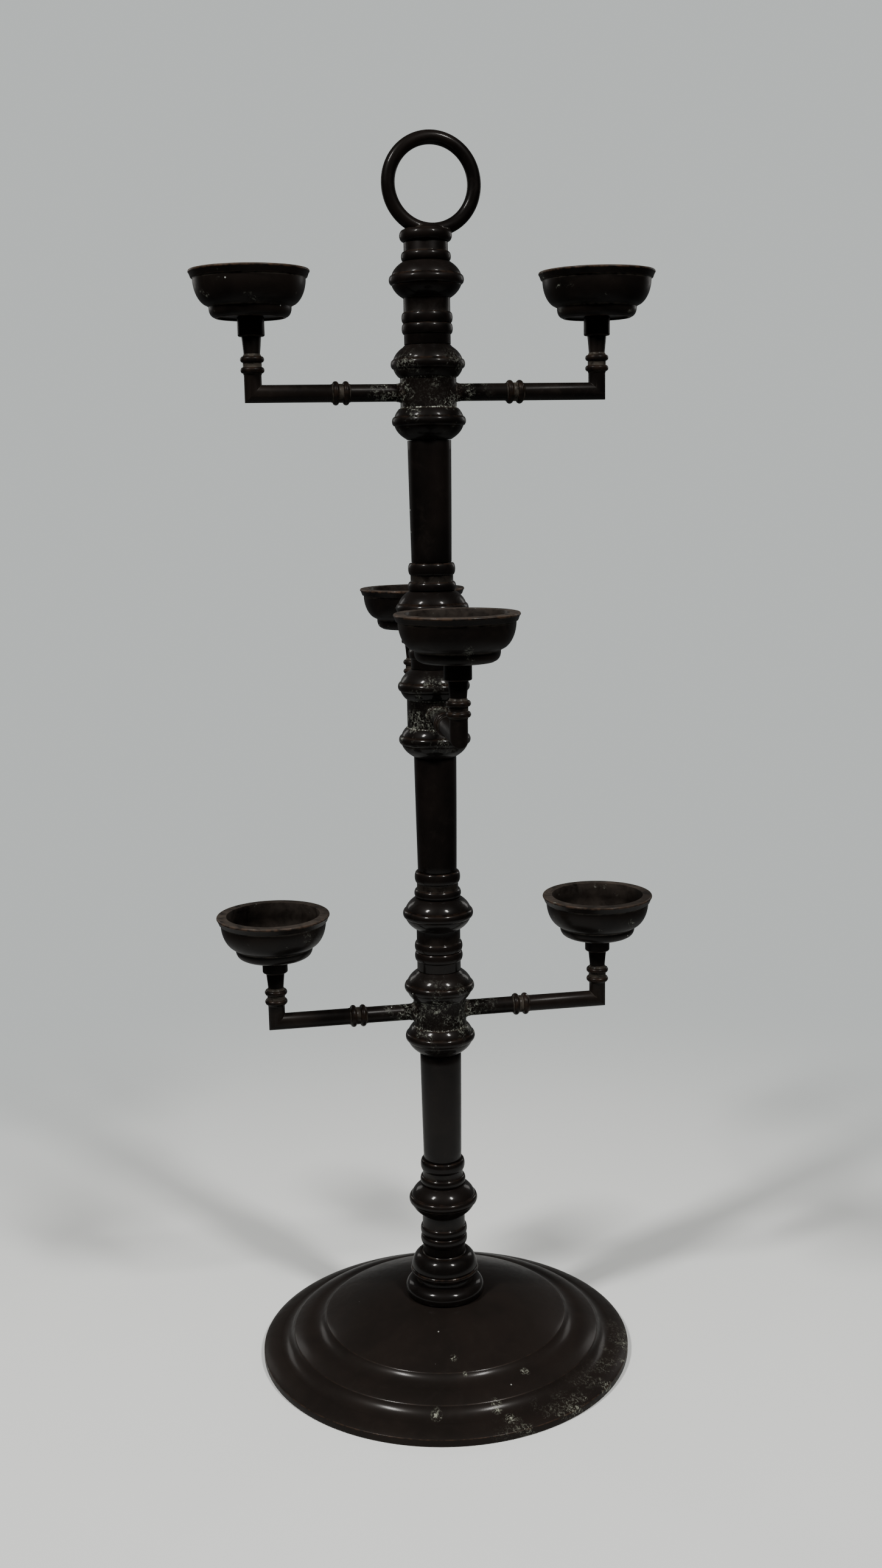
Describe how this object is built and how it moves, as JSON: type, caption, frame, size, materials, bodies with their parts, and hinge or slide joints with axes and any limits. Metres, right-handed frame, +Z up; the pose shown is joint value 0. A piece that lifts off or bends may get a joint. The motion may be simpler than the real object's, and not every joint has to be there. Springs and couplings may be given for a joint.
{
  "type": "candelabrum",
  "caption": "Free-standing tiered candelabrum: turned column on a round foot, arms with shallow candle cups, carrying ring on top. Tiers turn about the column.",
  "frame": {"origin": "centre of the foot's underside, on the column's axis", "axes": "+Z up along the column; the lower and upper tiers' arms lie along X, the middle tier's along Y"},
  "size_m": [0.2774, 0.2772, 0.7622],
  "materials": {
    "column_bronze": "dark brown-black patina, satin with soft highlights",
    "foot_bronze": "brown patina, satin, worn at the rim",
    "cup_bronze": "dark patina worn to warm brown on the lip, dusty inside",
    "arm_bronze": "dark brown patina, satin",
    "steel": "dull, lightly oxidised"
  },
  "bodies": {
    "stand": {"foot_dome": "foot_bronze", "column_base": "column_bronze", "base_spacer": "column_bronze", "lower_shaft": "column_bronze", "lower_spacer": "column_bronze", "middle_shaft": "column_bronze", "middle_spacer": "column_bronze", "upper_shaft": "column_bronze", "top_spacer": "column_bronze", "ring_finial": "column_bronze", "tie_rod": "steel", "clamp_washer": "steel", "clamp_nut": "steel"},
    "lower_tier": {"lower_hub": "column_bronze", "lower_arm_left": "arm_bronze", "lower_riser_left": "arm_bronze", "lower_collar_left": "arm_bronze", "lower_cup_left": "cup_bronze", "lower_cup_screw_left": "steel", "lower_arm_right": "arm_bronze", "lower_riser_right": "arm_bronze", "lower_collar_right": "arm_bronze", "lower_cup_right": "cup_bronze", "lower_cup_screw_right": "steel"},
    "middle_tier": {"middle_hub": "column_bronze", "middle_arm_back": "arm_bronze", "middle_riser_back": "arm_bronze", "middle_collar_back": "arm_bronze", "middle_cup_back": "cup_bronze", "middle_cup_screw_back": "steel", "middle_arm_front": "arm_bronze", "middle_riser_front": "arm_bronze", "middle_collar_front": "arm_bronze", "middle_cup_front": "cup_bronze", "middle_cup_screw_front": "steel"},
    "upper_tier": {"upper_hub": "column_bronze", "upper_arm_left": "arm_bronze", "upper_riser_left": "arm_bronze", "upper_collar_left": "arm_bronze", "upper_cup_left": "cup_bronze", "upper_cup_screw_left": "steel", "upper_arm_right": "arm_bronze", "upper_riser_right": "arm_bronze", "upper_collar_right": "arm_bronze", "upper_cup_right": "cup_bronze", "upper_cup_screw_right": "steel"}
  },
  "joints": [
    {"name": "lower_tier_turn", "type": "hinge", "parent": "stand", "child": "lower_tier", "pos_m": [0, 0, 0.23075], "axis": [0, 0, 1], "continuous": true},
    {"name": "middle_tier_turn", "type": "hinge", "parent": "stand", "child": "middle_tier", "pos_m": [0, 0, 0.42245], "axis": [0, 0, 1], "continuous": true},
    {"name": "upper_tier_turn", "type": "hinge", "parent": "stand", "child": "upper_tier", "pos_m": [0, 0, 0.61415], "axis": [0, 0, 1], "continuous": true}
  ]
}
